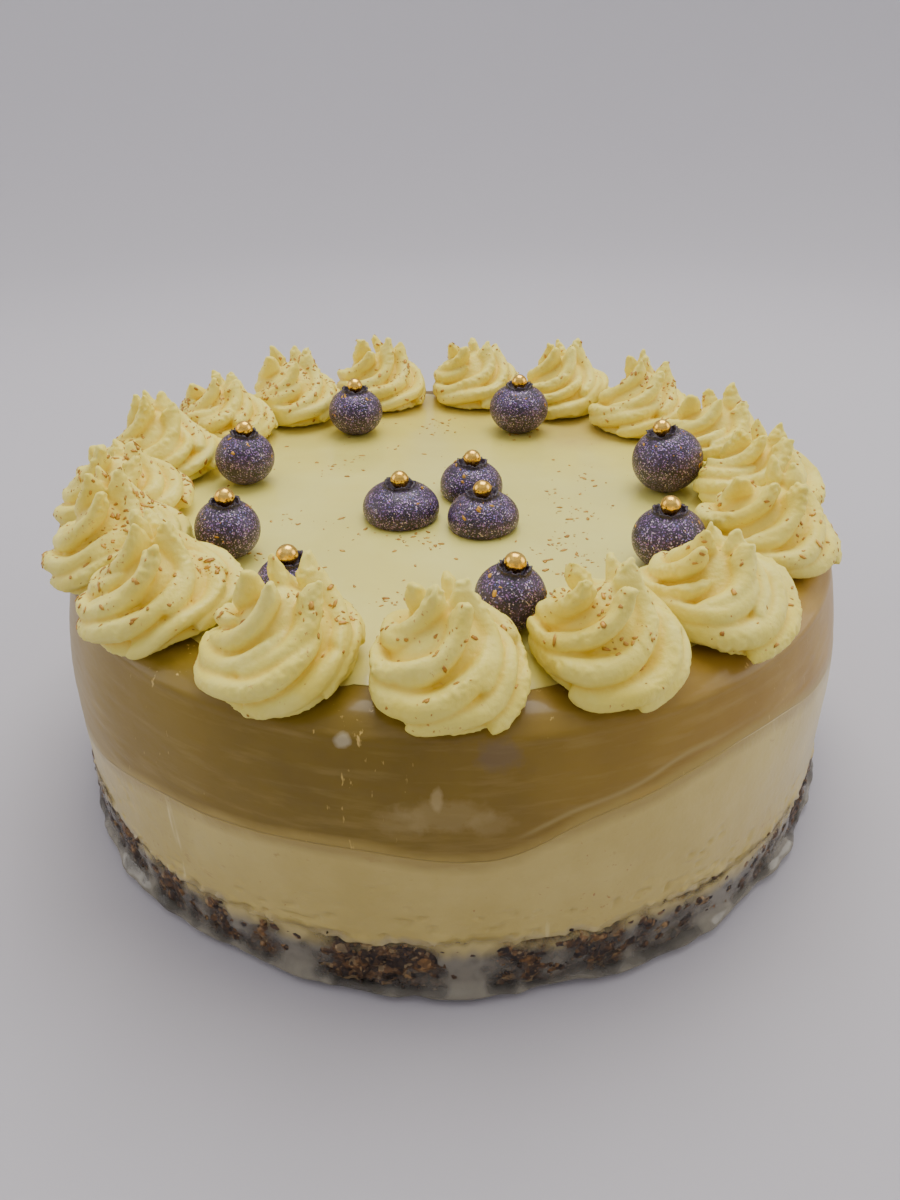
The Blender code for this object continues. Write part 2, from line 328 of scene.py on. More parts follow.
def scattered(shapes):
    """Many closed skins, (count, rings, turns, 3), as the points and faces of one mesh."""
    _, faces = turned_skin(shapes[0])
    each = shapes.shape[1] * shapes.shape[2] + 2
    grids = shapes.reshape(len(shapes), -1, 3)
    points = np.concatenate([grids, shapes[:, 0].mean(axis=1, keepdims=True),
                             shapes[:, -1].mean(axis=1, keepdims=True)], axis=1).reshape(-1, 3)
    quads = np.array([face for face in faces if len(face) == 4])
    fans = np.array([face for face in faces if len(face) == 3])
    shift = (np.arange(len(shapes)) * each)[:, None, None]
    quads, fans = (quads + shift).reshape(-1, 4), (fans + shift).reshape(-1, 3)
    return points, quads.tolist() + fans.tolist()


def loose_crumbs(dice):
    """Lumpy balls with every point's reach drawn at random, squashed and spread on the wall."""
    unit = ball_grid(5, 7)
    lumps = unit * dice.uniform(0.65, 1.2, (LOOSE_CRUMBS, 5, 7, 1))
    low, high = CRUMB_SIZES
    sizes = low + (high - low) * dice.random((LOOSE_CRUMBS, 1, 1, 1)) ** 2.2
    lumps = lumps * sizes * dice.uniform(0.6, 1.2, (LOOSE_CRUMBS, 1, 1, 3))
    angle = dice.uniform(0, math.tau, LOOSE_CRUMBS)
    height = np.where(dice.random(LOOSE_CRUMBS) < 0.3, dice.uniform(1.6, 3.0, LOOSE_CRUMBS) * MM,
                      dice.uniform(2.0 * MM, 1.0, LOOSE_CRUMBS))
    edge = crust_edge(angle)
    height = np.where(height > 3 * MM, 2 * MM + (height - 3 * MM) * (edge - 1 * MM), height)
    centre = on_side(angle, height, FOOT_RADIUS - 0.25 * MM)
    lumps = lumps + centre[:, None, None, :]
    lumps[..., 2] = np.maximum(lumps[..., 2], 0.02 * MM)
    return lumps


loose = add_piece("loose_crumbs", *scattered(loose_crumbs(np.random.default_rng(5))), crumb)
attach(loose, "root")

# --- Pale lower layer --------------------------------------------------------------------
# Set vanilla cheesecake filling on the crust, glazed. Its side is smooth and creamy, with
# small pits, scratches and torn bits near the crust. The tan layer meets it in a wavy line.

LAYER_LINE = ((0, 41.5), (25, 39), (50, 40.5), (80, 38.5), (110, 40.5), (140, 42), (165, 40),
              (185, 34), (200, 27.5), (214, 30.8), (231, 37.6), (242, 38.3), (252, 39.6),
              (260, 40.1), (266, 38.6), (272, 37.9), (277, 38.4), (281, 43), (286, 45.6),
              (291, 47), (299, 49.6), (306, 50.8), (313, 50.2), (324, 46.7), (342, 43.5))
LAYER_TURNS = 900
PALE_RINGS = 56


def layer_line(angle):
    """Height of the line between the two fillings, eased between the measured places."""
    places, heights = np.array(LAYER_LINE, float).T
    turns = np.degrees(angle) % 360
    line = sum(np.interp((turns + shift) % 360, places, heights, period=360)
               for shift in (-3, -1.5, 0, 1.5, 3)) / 5
    ripple = soft_noise(on_side(angle, 40 * MM), 9 * MM, 31)
    return (line + 0.35 * ripple) * MM


def filling(edge_low, edge_high, rings, relief, turns):
    """A thick disc whose wall runs between two wavy edges, with its relief pushed in or out."""
    angle = around(turns)
    share = (1 - np.cos(np.linspace(0, math.pi, rings)[:, None])) / 2
    share = 0.35 * share + 0.65 * np.linspace(0, 1, rings)[:, None]
    height = edge_low(angle) + CUT + share * (edge_high(angle) - edge_low(angle) - 2 * CUT)
    wall = on_side(angle, height)
    wall = on_side(angle, height, side_radius(height) + relief(wall, share))
    inner = np.array([[[0.6, 0.6, 1]], [[0.9, 0.9, 1]]])
    return np.concatenate([wall[:1] * inner, wall, wall[-1:] * inner[::-1]])


def pale_relief(wall, share):
    """Slow swells, fine pits where a stretched noise is high, and torn bits near the crust."""
    swell = 0.22 * soft_noise(wall, 14 * MM, 41) + 0.08 * soft_noise(wall, 3 * MM, 42)
    stretched = wall * np.array([1, 1, 1.9])
    pits = -0.55 * ease(0.42, 0.75, soft_noise(stretched, 2.3 * MM, 43)) * ease(
        -0.1, 0.5, soft_noise(wall, 17 * MM, 44) + 0.5 - share)
    torn = 0.5 * ease(0.2, 0.7, soft_noise(stretched, 2.0 * MM, 45)) * ease(0.22, 0.02, share)
    return ((swell + pits + torn) * ease(1.0, 0.85, share) - 0.12) * MM


def new_group(name, inputs, output):
    """An empty shader node group with its inputs and its one output, each a (name, kind)."""
    group = bpy.data.node_groups.new(name, "ShaderNodeTree")
    for (socket, kind), way in [(pair, "INPUT") for pair in inputs] + [(output, "OUTPUT")]:
        group.interface.new_socket(socket, in_out=way, socket_type="NodeSocket" + kind)
    into, out_of = group.nodes.new("NodeGroupInput"), group.nodes.new("NodeGroupOutput")
    return group, into.outputs, out_of.inputs


def build_mottle():
    """Shared colour group: one colour drifting into another by a noise of four octaves."""
    group, ins, outs = new_group(
        "cream_mottle", (("Place", "Vector"), ("Light", "Color"), ("Dark", "Color"),
                         ("Scale", "Float")), ("Colour", "Color"))
    broad = put(group, "TexNoise", {"Vector": ins["Place"], "Scale": ins["Scale"],
                                    "Detail": 4.0, "Roughness": 0.6})
    share = put(group, "MapRange", {0: broad.outputs["Fac"], 1: 0.36, 2: 0.64})
    mixed = put(group, "MixRGB", {0: share.outputs[0], 1: ins["Light"], 2: ins["Dark"]})
    group.links.new(mixed.outputs[0], outs["Colour"])
    return group


def build_specks():
    """Shared mask group: small scattered specks, more of them where a broad noise is high."""
    group, ins, outs = new_group(
        "scattered_specks", (("Place", "Vector"), ("Scale", "Float"), ("Amount", "Float"),
                             ("Patches", "Float")), ("Mask", "Float"))
    fine = put(group, "TexNoise", {"Vector": ins["Place"], "Scale": ins["Scale"],
                                   "Detail": 3.0, "Roughness": 0.7})
    broad = put(group, "TexNoise", {"Vector": ins["Place"], "Scale": ins["Patches"],
                                    "Detail": 2.0})
    lift = put(group, "Math", {0: broad.outputs["Fac"], 1: 0.5}, operation="SUBTRACT")
    boost = put(group, "Math", {0: lift.outputs[0], 1: 0.45, 2: fine.outputs["Fac"]},
                operation="MULTIPLY_ADD")
    raised = put(group, "Math", {0: boost.outputs[0], 1: ins["Amount"]})
    mask = put(group, "MapRange", {0: raised.outputs[0], 1: 0.70, 2: 0.78})
    group.links.new(mask.outputs[0], outs["Mask"])
    return group


def add_group(tree, group, feeds):
    """Places a shared group in a material with this material's own values."""
    return put(tree, "Group", feeds, node_tree=group).outputs[0]


def measured(tree, name):
    """The number that the piece's mesh keeps at each point under this name."""
    return put(tree, "Attribute", attribute_name=name).outputs["Fac"]


def tint_over(tree, mask, under, over):
    """Lays one colour over another where the mask is high."""
    return put(tree, "MixRGB", {0: mask, 1: under, 2: over}).outputs[0]


def stretched(tree, place, stretch):
    """The object's coordinates scaled by axis, to draw a pattern out along another axis."""
    return put(tree, "Mapping", {"Vector": place, "Scale": stretch}).outputs[0]


def blend_at_line(tree, place, colour):
    """Draws both fillings to one tan where they meet, in streaks; gives the streaks too."""
    smear = put(tree, "TexNoise", {"Vector": stretched(tree, place, (1, 1, 2)), "Scale": 70.0,
                                   "Detail": 3.0}).outputs["Fac"]
    drawn = put(tree, "Math", {0: smear, 1: measured(tree, "near_line")}, operation="MULTIPLY")
    melted = put(tree, "MapRange", {0: drawn.outputs[0], 1: 0.12, 2: 0.5, 4: 0.95})
    return tint_over(tree, melted.outputs[0], colour, (0.40, 0.28, 0.055, 1)), smear


mottle, specks = build_mottle(), build_specks()


def pale_finish():
    """Cream filling: warm mottle, pale runs drawn down the side, tan specks, and a wet coat."""
    material, tree, surface, place = new_finish(
        "vanilla_filling", Roughness=0.38, Coat_Weight=0.5, Coat_Roughness=0.12,
        Subsurface_Weight=0.15, Subsurface_Scale=2.5 * MM)
    surface.inputs["Subsurface Radius"].default_value = (1.0, 0.7, 0.35)
    colour = add_group(tree, mottle, {"Place": place, "Scale": 45.0,
                                      "Light": (0.63, 0.49, 0.135, 1),
                                      "Dark": (0.55, 0.415, 0.095, 1)})
    runs = add_group(tree, specks, {"Place": stretched(tree, place, (1, 1, 0.12)),
                                    "Scale": 170.0, "Amount": 0.03, "Patches": 22.0})
    colour = tint_over(tree, runs, colour, (0.78, 0.66, 0.28, 1))
    bits = add_group(tree, specks, {"Place": place, "Scale": 700.0, "Amount": -0.005,
                                    "Patches": 60.0})
    colour = tint_over(tree, bits, colour, (0.42, 0.20, 0.04, 1))
    scuffs = add_group(tree, specks, {"Place": stretched(tree, place, (1, 1, 2.4)),
                                      "Scale": 210.0, "Amount": 0.02, "Patches": 40.0})
    colour = tint_over(tree, scuffs, colour, (0.50, 0.34, 0.08, 1))
    colour, smear = blend_at_line(tree, place, colour)
    dim = put(tree, "Math", {0: smear, 1: measured(tree, "near_crust")}, operation="MULTIPLY")
    shaded = put(tree, "MapRange", {0: dim.outputs[0], 1: 0.20, 2: 0.62, 4: 0.75})
    colour = tint_over(tree, shaded.outputs[0], colour, (0.36, 0.31, 0.23, 1))
    tree.links.new(colour, surface.inputs["Base Color"])
    fine = put(tree, "TexNoise", {"Vector": place, "Scale": 700.0, "Detail": 4.0})
    roughen(tree, surface, fine.outputs["Fac"], 0.35, 0.3 * MM)
    return material


def add_measure(piece, name, values):
    """Keeps one number from 0 to 1 at each point of the mesh for its material to read."""
    layer = piece.data.attributes.new(name, "FLOAT", "POINT")
    layer.data.foreach_set("value", np.ascontiguousarray(values, dtype=np.float32).ravel())


def polar(points):
    """Each point's angle round the cake and its height."""
    return np.arctan2(points[:, 1], points[:, 0]), points[:, 2]


points, faces = turned_skin(
    filling(crust_edge, layer_line, PALE_RINGS, pale_relief, LAYER_TURNS))
pale = add_piece("vanilla_layer", points, faces, pale_finish())
angle, height = polar(points)
add_measure(pale, "near_line", ease(5.0 * MM, 0.0, layer_line(angle) - height))
add_measure(pale, "near_crust", ease(3.6 * MM, 0.0, height - crust_edge(angle)))
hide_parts("lower_layer")
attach(pale, "root")

# --- Tan upper layer ---------------------------------------------------------------------
# Coffee-coloured filling poured over the pale one. Its side is smooth and glossy, with level
# streaks and a few marks in the glaze, and its rim is rounded where the tin's edge was.

TOP = 67.2 * MM
RIM_ROUND = 5.5 * MM
FLAT_END = 88.0 * MM             # the rim's rounding starts this far from the axis
GLAZE_THICKNESS = 0.6 * MM
TAN_RINGS = 62


def top_profile(arc, sunk):
    """Out along the top by arc, then round the rim's quarter circle, sunk under the surface."""
    bend = np.clip((arc - FLAT_END) / RIM_ROUND, 0, math.pi / 2)
    beyond = np.maximum(0, arc - FLAT_END - RIM_ROUND * math.pi / 2)
    ring = RIM_ROUND - sunk
    reach = np.minimum(arc, FLAT_END) + ring * np.sin(bend)
    height = TOP - RIM_ROUND + ring * np.cos(bend) - beyond
    return reach + (side_radius(height) - side_radius(TOP - RIM_ROUND)) * (beyond > 0), height


def tan_wall():
    """The streaked wall up to the rim's foot, the rim's quarter circle, and the flat top."""
    angle = around(LAYER_TURNS)
    low, high = layer_line(angle) + CUT, TOP - RIM_ROUND
    height = low + np.linspace(0, 1, TAN_RINGS)[:, None] * (high - low)
    wall = on_side(angle, height)
    relief = (0.20 * soft_noise(wall, 16 * MM, 51)
              + 0.07 * soft_noise(wall * np.array([1, 1, 5]), 7 * MM, 52)) * MM
    relief = relief * ease(high, high - 6 * MM, height) * ease(low, low + 4 * MM, height)
    end = side_radius(TOP - RIM_ROUND) - FLAT_END - RIM_ROUND
    wall = on_side(angle, height, side_radius(height) - 0.12 * MM + relief)
    arc = np.linspace(FLAT_END + RIM_ROUND * math.pi / 2, FLAT_END - 2 * MM, 16)[1:, None]
    sunk = 0.12 * MM + (GLAZE_THICKNESS - 0.05 * MM) * ease(
        FLAT_END + 8 * MM, FLAT_END + 5 * MM, arc)
    reach, rim_height = top_profile(arc, sunk)
    reach += end * ease(FLAT_END, FLAT_END + 8 * MM, arc)
    rim = on_side(angle, rim_height + 0 * angle, reach)
    inner = np.array([[[0.6, 0.6, 1]], [[0.9, 0.9, 1]]])
    return np.concatenate([wall[:1] * inner, wall, rim, rim[-1:] * inner[::-1]])


def side_marks():
    """(angle, height mm, width mm, tallness mm, strength, kind) of the marks on the front."""
    return ((257.8, 62.2, 1.6, 1.4, 0.5, "white"), (268.1, 52.2, 1.2, 2.6, 0.55, "bead"),
            (274.9, 60.2, 4.2, 3.0, 0.45, "plum"), (269.0, 48.6, 8.5, 3.4, 0.28, "bead"),
            (264.2, 47.0, 5.0, 3.0, 0.20, "bead"), (273.8, 46.7, 4.6, 2.4, 0.22, "bead"),
            (292.0, 46.5, 6.0, 2.6, 0.35, "gold"))


def mark_mask(tree, place, mark):
    """1 inside an oval patch on the side, by distance from its middle, softened by noise."""
    angle, height, width, tall, strength, _ = mark
    spot = on_side(math.radians(angle), np.float64(height * MM))
    moved = put(tree, "VectorMath", {0: place, 1: tuple(-spot)})
    squashed = put(tree, "VectorMath", {0: moved.outputs[0],
                                        1: (1 / (width * MM), 1 / (width * MM), 1 / (tall * MM))},
                   operation="MULTIPLY")
    away = put(tree, "VectorMath", {0: squashed.outputs[0]}, operation="LENGTH")
    ragged = put(tree, "TexNoise", {"Vector": place, "Scale": 420.0, "Detail": 3.0})
    edge = put(tree, "Math", {0: ragged.outputs["Fac"], 1: 1.1, 2: away.outputs["Value"]},
               operation="MULTIPLY_ADD")
    return put(tree, "MapRange", {0: edge.outputs[0], 1: 1.75, 2: 1.2, 3: 0.0,
                                  4: strength}).outputs[0]


def tan_finish():
    """Coffee filling under clear glaze: olive, painted lighter and warmer at the lit sides, level
    streaks, and its marks.
    """
    material, tree, surface, place = new_finish(
        "coffee_filling", Roughness=0.4, Specular_IOR_Level=0.3, Coat_Weight=0.22,
        Coat_Roughness=0.1, Subsurface_Weight=0.1, Subsurface_Scale=2.0 * MM)
    surface.inputs["Subsurface Radius"].default_value = (1.0, 0.55, 0.2)
    olive = add_group(tree, mottle, {"Place": place, "Scale": 30.0,
                                     "Light": (0.225, 0.142, 0.006, 1),
                                     "Dark": (0.165, 0.102, 0.003, 1)})
    warm = add_group(tree, mottle, {"Place": place, "Scale": 40.0,
                                    "Light": (0.44, 0.27, 0.036, 1),
                                    "Dark": (0.35, 0.20, 0.022, 1)})
    # Painted light: the filling stays olive at the front and is painted warmer and lighter
    # towards the right and the left, standing in for the side light that the front does not get.
    split = put(tree, "SeparateXYZ", {0: place})
    lit_right_side = put(tree, "MapRange", {0: split.outputs[0], 1: -0.01, 2: 0.085})
    colour = tint_over(tree, lit_right_side.outputs[0], olive, warm)
    lit_left_side = put(tree, "MapRange", {0: split.outputs[0], 1: -0.02, 2: -0.085, 4: 0.55})
    colour = tint_over(tree, lit_left_side.outputs[0], colour, (0.36, 0.235, 0.016, 1))
    streak = put(tree, "TexNoise", {"Vector": stretched(tree, place, (1, 1, 7)), "Scale": 55.0,
                                    "Detail": 4.0, "Roughness": 0.6})
    streaks = put(tree, "MapRange", {0: streak.outputs["Fac"], 1: 0.52, 2: 0.74, 4: 0.22})
    colour = tint_over(tree, streaks.outputs[0], colour, (0.50, 0.36, 0.12, 1))
    colour, _ = blend_at_line(tree, place, colour)
    # Painted highlight: a lighter band just above the layer line on the front right.
    colour = tint_over(tree, measured(tree, "highlight_band"), colour, (0.46, 0.36, 0.13, 1))
    gold = add_group(tree, specks, {"Place": stretched(tree, place, (1, 1, 0.25)),
                                    "Scale": 520.0, "Amount": -0.005, "Patches": 45.0})
    colour = tint_over(tree, gold, colour, (0.72, 0.50, 0.13, 1))
    inks = {"white": (0.74, 0.66, 0.44, 1), "bead": (0.50, 0.38, 0.16, 1),
            "plum": (0.17, 0.115, 0.085, 1), "gold": (0.46, 0.27, 0.03, 1)}
    for mark in side_marks():
        colour = tint_over(tree, mark_mask(tree, place, mark), colour, inks[mark[-1]])
    tree.links.new(colour, surface.inputs["Base Color"])
    fine = put(tree, "TexNoise", {"Vector": stretched(tree, place, (1, 1, 2.5)), "Scale": 240.0,
                                  "Detail": 4.0})
    roughen(tree, surface, fine.outputs["Fac"], 0.25, 0.3 * MM)
    return material


points, faces = turned_skin(tan_wall())
tan = add_piece("coffee_layer", points, faces, tan_finish())
angle, height = polar(points)
above = height - layer_line(angle)
add_measure(tan, "near_line", ease(4.0 * MM, 0.0, above))
# Painted highlight: a lighter band a few millimetres above the layer line, on the front right
# only, standing in for the light caught along the lip there.
highlight_line = (3.6 + 1.2 * soft_noise(on_side(angle, 40 * MM), 15 * MM, 33)) * MM
front_right = ease(275, 280, np.degrees(angle) % 360) * ease(312, 296, np.degrees(angle) % 360)
add_measure(tan, "highlight_band", 0.5 * front_right * np.exp(-((above - highlight_line) / (0.55 * MM)) ** 2))
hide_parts("upper_layer")
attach(tan, "root")

# --- Top glaze ---------------------------------------------------------------------------
# A thin pale ivory glaze poured on the top. It lies almost level, painted a little tan at the
# back for the warm light reflected from the rear rosettes, and stops short of the rounded rim
# in a soft uneven edge with short tongues.

GLAZE_TURNS = 480
GLAZE_RINGS = 70
GLAZE_REACH = FLAT_END - 3.5 * MM


def glaze_swell(points):
    """The glaze's slow rise and fall, a little under the level of the top."""
    level = points * np.array([1, 1, 0])
    return (0.16 * soft_noise(level, 15 * MM, 64) + 0.05 * soft_noise(level, 5 * MM, 65)
            - 0.16) * MM


def glaze_sheet():
    """Under side out to the uneven edge, round it, and the swelling upper side back in."""
    angle = around(GLAZE_TURNS)
    rim = on_side(angle, TOP, FLAT_END)
    edge = GLAZE_REACH + (1.6 * soft_noise(rim, 13 * MM, 61) + 0.5 * soft_noise(rim, 4 * MM, 62)
                          + 3.0 * ease(0.55, 0.9, soft_noise(rim, 7 * MM, 63))) * MM
    out = np.linspace(0.04, 1, 14)[:, None]
    back = np.sin(np.linspace(math.pi / 2, 0.012, GLAZE_RINGS)[:, None]) ** 0.85
    under_reach, under_height = top_profile(out * (edge - 0.25 * MM), GLAZE_THICKNESS)
    reach, height = top_profile(back * edge, 0.0)
    sheet = on_side(angle, height, reach)
    sheet[..., 2] += glaze_swell(sheet) - 0.3 * MM * ease(0.96, 1.0, back)
    return np.concatenate([on_side(angle, under_height, under_reach), sheet])


def glaze_finish():
    """Ivory glaze: cream with a painted reflected tan at the back, a stain, gold dust and a wet
    gloss.
    """
    material, tree, surface, place = new_finish(
        "ivory_glaze", Roughness=0.30, Coat_Weight=0.35, Coat_Roughness=0.15,
        Subsurface_Weight=0.25, Subsurface_Scale=3.0 * MM)
    surface.inputs["Subsurface Radius"].default_value = (1.0, 0.8, 0.4)
    colour = add_group(tree, mottle, {"Place": place, "Scale": 28.0,
                                      "Light": (0.90, 0.81, 0.215, 1),
                                      "Dark": (0.86, 0.74, 0.165, 1)})
    stain = (38.0 * MM, 48.0 * MM, TOP)
    moved = put(tree, "VectorMath", {0: place, 1: tuple(-value for value in stain)})
    away = put(tree, "VectorMath", {0: moved.outputs[0]}, operation="LENGTH")
    smear = put(tree, "TexNoise", {"Vector": place, "Scale": 120.0, "Detail": 3.0})
    edge = put(tree, "Math", {0: smear.outputs["Fac"], 1: 0.020, 2: away.outputs["Value"]},
               operation="MULTIPLY_ADD")
    mask = put(tree, "MapRange", {0: edge.outputs[0], 1: 0.030, 2: 0.014, 3: 0.0, 4: 0.65})
    colour = tint_over(tree, mask.outputs[0], colour, (0.50, 0.33, 0.15, 1))
    # Painted reflection: the glaze is tinted tan towards the back, standing in for warm light
    # reflected from the rear rosettes.
    level = put(tree, "SeparateXYZ", {0: place})
    behind = put(tree, "Math", {0: smear.outputs["Fac"], 1: 0.030, 2: level.outputs[1]},
                 operation="MULTIPLY_ADD")
    painted_back_reflection = put(tree, "MapRange", {0: behind.outputs[0], 1: 0.022, 2: 0.090, 3: 0.0, 4: 0.75})
    colour = tint_over(tree, painted_back_reflection.outputs[0], colour, (0.72, 0.54, 0.085, 1))
    dust = add_group(tree, specks, {"Place": place, "Scale": 850.0, "Amount": -0.03,
                                    "Patches": 70.0})
    colour = tint_over(tree, dust, colour, (0.62, 0.42, 0.10, 1))
    tree.links.new(colour, surface.inputs["Base Color"])
    fine = put(tree, "TexNoise", {"Vector": place, "Scale": 160.0, "Detail": 3.0})
    roughen(tree, surface, fine.outputs["Fac"], 0.15, 0.3 * MM)
    return material


glaze = add_piece("top_glaze", *turned_skin(glaze_sheet()), glaze_finish())
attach(glaze, "root")

# --- Side glaze over the crust -----------------------------------------------------------
# Thin milky glaze that ran down the side and half hides the crumbs. It gathered in a wavy
# bead that overhangs the foot, and in a few places a broad drip crosses the crust.

FILM_TURNS = 1000
FILM_RINGS = 44
DRIPS = ((271.5, 5.5, 1.0), (251.0, 4.0, 0.55), (243.0, 3.0, 0.5), (291.0, 3.5, 0.55),
         (305.0, 5.0, 0.6), (226.0, 5.0, 0.6), (322.0, 4.0, 0.6), (196.0, 6.0, 0.7),
         (12.0, 6.0, 0.8), (40.0, 4.0, 0.6), (75.0, 6.0, 0.7), (108.0, 4.0, 0.6),
         (139.0, 6.0, 0.8), (167.0, 4.0, 0.6))


def milkiness(angle, height):
    """How thick the film is, 0 to 1: patches of noise, the drips, and the pool at the foot."""
    wall = on_side(angle, height)
    patches = (0.55 + 0.75 * soft_noise(wall * np.array([1, 1, 0.8]), 11 * MM, 71)
               + 0.45 * soft_noise(wall, 2.6 * MM, 72))
    drip, ragged = 0, 1.2 * soft_noise(wall, 3.5 * MM, 77)
    for middle, width, strength in DRIPS:
        apart = (np.degrees(angle) - middle + 180) % 360 - 180 + ragged
        drip = np.maximum(drip, strength * np.exp(-(apart / (width / 2)) ** 2))
    foot = ease(4.0 * MM, 0.8 * MM, height)
    return np.clip(0.85 * np.clip(patches, 0, 1) + 0.9 * drip + 0.8 * foot, 0, 1)


def film_rings():
    """Inner wall down, then out under the foot's bead and up the outer wall.

    The bead stands out as a bell curve of the height, and the wall tucks in again below it.
    """
    angle = around(FILM_TURNS)
    top = crust_edge(angle) + (1.8 + 1.5 * soft_noise(on_side(angle, 0.0), 8 * MM, 73)) * MM
    share = np.linspace(1, 0, FILM_RINGS)[:, None] ** 1.4
    height = 0.05 * MM + share * top
    milk = milkiness(angle, height)
    line = on_side(angle, 0.0)
    pool = (0.7 + 1.5 * soft_noise(line, 11 * MM, 74) + 0.5 * soft_noise(line, 4 * MM, 75)) * MM
    inner = on_side(angle, height, FOOT_RADIUS - 3.9 * MM + 0 * milk)
    proud = (0.15 + 0.6 * milk) * MM * ease(1.0, 0.9, share)
    bead = (np.maximum(pool, 0.1 * MM) + 0.5 * MM) * np.exp(
        -((height - 2.3 * MM) / (1.5 * MM)) ** 2)
    tuck = 3.2 * MM * ease(2.0 * MM, 0.0, height)
    outer = on_side(angle, height, FOOT_RADIUS - 0.25 * MM + proud + bead - tuck)
    upper = ease(-4.5 * MM, 0.5 * MM, height - crust_edge(angle))
    milk = milk * ease(1.0, 0.86, share)
    rows = np.concatenate([inner, outer[::-1]])
    return rows, np.concatenate([milk, milk[::-1]]), np.concatenate([upper, upper[::-1]])


def ring_skin(rows):
    """A closed ring-shaped skin: rows of points that run round and meet again both ways."""
    rings, turns = rows.shape[:2]
    ring, turn = np.meshgrid(np.arange(rings), np.arange(turns), indexing="ij")
    here, after = ring * turns + turn, ring * turns + (turn + 1) % turns
    up, up_after = np.roll(here, -1, axis=0), np.roll(after, -1, axis=0)
    quads = np.stack([here, after, up_after, up], axis=-1).reshape(-1, 4)
    return rows.reshape(-1, 3), quads.tolist()


def film_finish():
    """Milky glaze: grey where thin over the dark crumbs, creamier and denser in drips."""
    material, tree, surface, place = new_finish("milky_glaze", Roughness=0.16, Coat_Weight=0.4,
                                                Coat_Roughness=0.05)
    milk = measured(tree, "milk")
    fine = put(tree, "TexNoise", {"Vector": place, "Scale": 320.0, "Detail": 4.0})
    thick = put(tree, "Math", {0: fine.outputs["Fac"], 1: 0.6, 2: milk}, operation="MULTIPLY_ADD")
    density = put(tree, "MapRange", {0: thick.outputs[0], 1: 0.35, 2: 1.30, 3: 0.05, 4: 0.90})
    tone = put(tree, "MapRange", {0: thick.outputs[0], 1: 0.7, 2: 1.4})
    colour = tint_over(tree, tone.outputs[0], (0.125, 0.112, 0.088, 1), (0.26, 0.235, 0.17, 1))
    upper = measured(tree, "upper")
    colour = tint_over(tree, upper, colour, (0.62, 0.49, 0.17, 1))
    tree.links.new(colour, surface.inputs["Base Color"])
    tree.links.new(density.outputs[0], surface.inputs["Alpha"])
    return material


rows, milk, upper = film_rings()
film = add_piece("side_glaze", *ring_skin(rows), film_finish())
add_measure(film, "milk", milk)
add_measure(film, "upper", upper)
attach(film, "root")

# --- Piped rosettes ----------------------------------------------------------------------
# Seventeen rosettes of ivory whipped cream, piped through an open star tube in a ring round
# the rim. Each is thick twisted fins in two tiers, torn to ragged points where the tube left.

RING_CENTRE = np.array([-2.2, -0.8, 0]) * MM
ROSETTES = 17
SEAT = TOP + 0.35 * MM           # the rosettes' feet, just clear of the glaze
LOW_FINS, HIGH_FINS = 6, 5
LOW_SWEEP, HIGH_SWEEP = math.radians(150), math.radians(88)
FIN_STATIONS, FIN_SIDES = 56, 20
CREAM_GRAIN = 0.40 * MM          # size of the skin's facets
RIM_DROOP = 3.2 * MM
BERRY_CLEARANCE = 0.9 * MM
BERRY_NEARBY = 34 * MM           # a berry closer than this presses on a rosette
ROSETTE_REACH = 80.8 * MM        # the ring's middle line, from RING_CENTRE
RIM_BERRY_NODES = tuple(f"berry_{number:02d}" for number in range(1, 9))


def swept_fins(path, lean, thickness, depth):
    """A rounded blade carried along each path: (fins, stations, 3) to (fins, stations, sides, 3).

    The blade is a superellipse, `thickness` thick and `depth` deep, whose outer edge follows
    the path. It stands square to the path and leans out from the rosette's axis by `lean`.
    """
    run = np.gradient(path, axis=1)
    run /= np.linalg.norm(run, axis=-1, keepdims=True)
    flat = path * np.array([1, 1, 0])
    out = flat / np.maximum(np.linalg.norm(flat, axis=-1, keepdims=True), 1e-6)
    out = out * np.cos(lean)[..., None] + np.array([0, 0, 1]) * np.sin(lean)[..., None]
    across = np.cross(out, run)
    across /= np.linalg.norm(across, axis=-1, keepdims=True)
    out = np.cross(run, across)
    turn = around(FIN_SIDES)
    wide = np.sign(np.cos(turn)) * np.abs(np.cos(turn)) ** 0.8
    high = np.sign(np.sin(turn)) * np.abs(np.sin(turn)) ** 0.8
    middle = path - out * depth[..., None] / 2
    return (middle[:, :, None] + out[:, :, None] * wide[:, None] * depth[..., None, None] / 2
            - across[:, :, None] * high[:, None] * thickness[..., None, None] / 2)


def along(fins):
    """The share of the way along each fin, from 0 at its toe to 1."""
    return np.repeat(np.linspace(0, 1, FIN_STATIONS)[None], fins, axis=0)


def blunt(share, start, end):
    """Rounds a fin off: a quarter ellipse over its first share, and over its last."""
    toe = np.sqrt(np.clip(1 - (1 - np.clip(share / start, 0.02, 1)) ** 2, 0, 1))
    tail = np.sqrt(np.clip(1 - (1 - np.clip((1 - share) / end, 0.05, 1)) ** 2, 0, 1))
    return toe * tail


